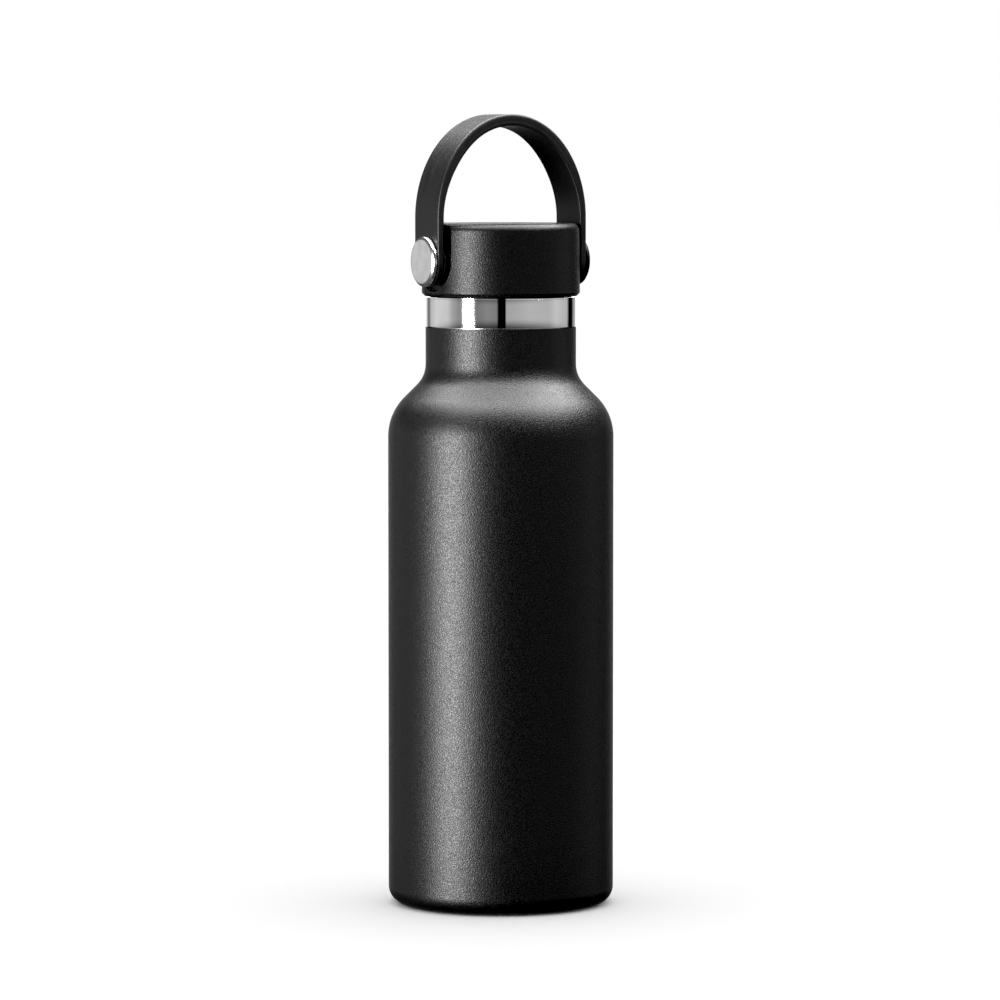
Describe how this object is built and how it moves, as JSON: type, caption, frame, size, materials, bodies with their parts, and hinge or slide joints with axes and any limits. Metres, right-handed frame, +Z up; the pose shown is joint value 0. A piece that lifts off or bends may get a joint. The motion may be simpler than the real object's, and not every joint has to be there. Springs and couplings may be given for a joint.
{
  "type": "insulated water bottle",
  "caption": "Double-walled steel water bottle with a narrow neck, a screw-in cap and a swinging arched carry strap.",
  "frame": {"origin": "centre of the ring that the bottle stands on", "axes": "+Z up along the bottle's axis; the strap's pins lie along X; the front faces -Y"},
  "size_m": [0.0734, 0.0734, 0.2576],
  "materials": {
    "powder_coat": "matte",
    "bare_steel": "satin",
    "polished_steel": "polished",
    "satin_steel": "satin",
    "black_steel": "satin",
    "silicone": "satin",
    "cap_plastic": "matte",
    "foam": "matte",
    "brass": "satin",
    "bearing_plastic": "satin",
    "strap_rubber": "satin"
  },
  "bodies": {
    "bottle": {"outer_shell": "powder_coat", "outer_bottom": "powder_coat", "base_cover": "bare_steel", "vacuum_seal": "bare_steel", "getter": "bare_steel", "inner_bottom": "bare_steel", "inner_liner": "bare_steel", "mouth_ring": "polished_steel"},
    "seal": {"gasket": "silicone"},
    "cap": {"cap_shell": "cap_plastic", "cap_plug": "cap_plastic", "insulation_puck": "foam", "insert_left": "brass", "insert_right": "brass", "pin_left": "satin_steel", "pin_right": "black_steel", "washer_left": "bearing_plastic", "washer_right": "bearing_plastic"},
    "strap": {"strap": "strap_rubber", "bush_left": "bearing_plastic", "bush_right": "bearing_plastic"}
  },
  "joints": [
    {"name": "cap_rise", "type": "slide", "parent": "bottle", "child": "seal", "axis": [0, 0, 1], "range_m": [0, 0.03]},
    {"name": "cap_turn", "type": "hinge", "parent": "seal", "child": "cap", "pos_m": [0, 0, 0.1986], "axis": [0, 0, 1], "range_deg": [0, 2160]},
    {"name": "strap_swing", "type": "hinge", "parent": "cap", "child": "strap", "pos_m": [0, 0, 0.21], "axis": [1, 0, 0], "range_deg": [-125, 125]}
  ],
  "couplings": [
    {"joint": "cap_rise", "follows": "cap_turn", "m_per_rad": 0.00079577}
  ]
}
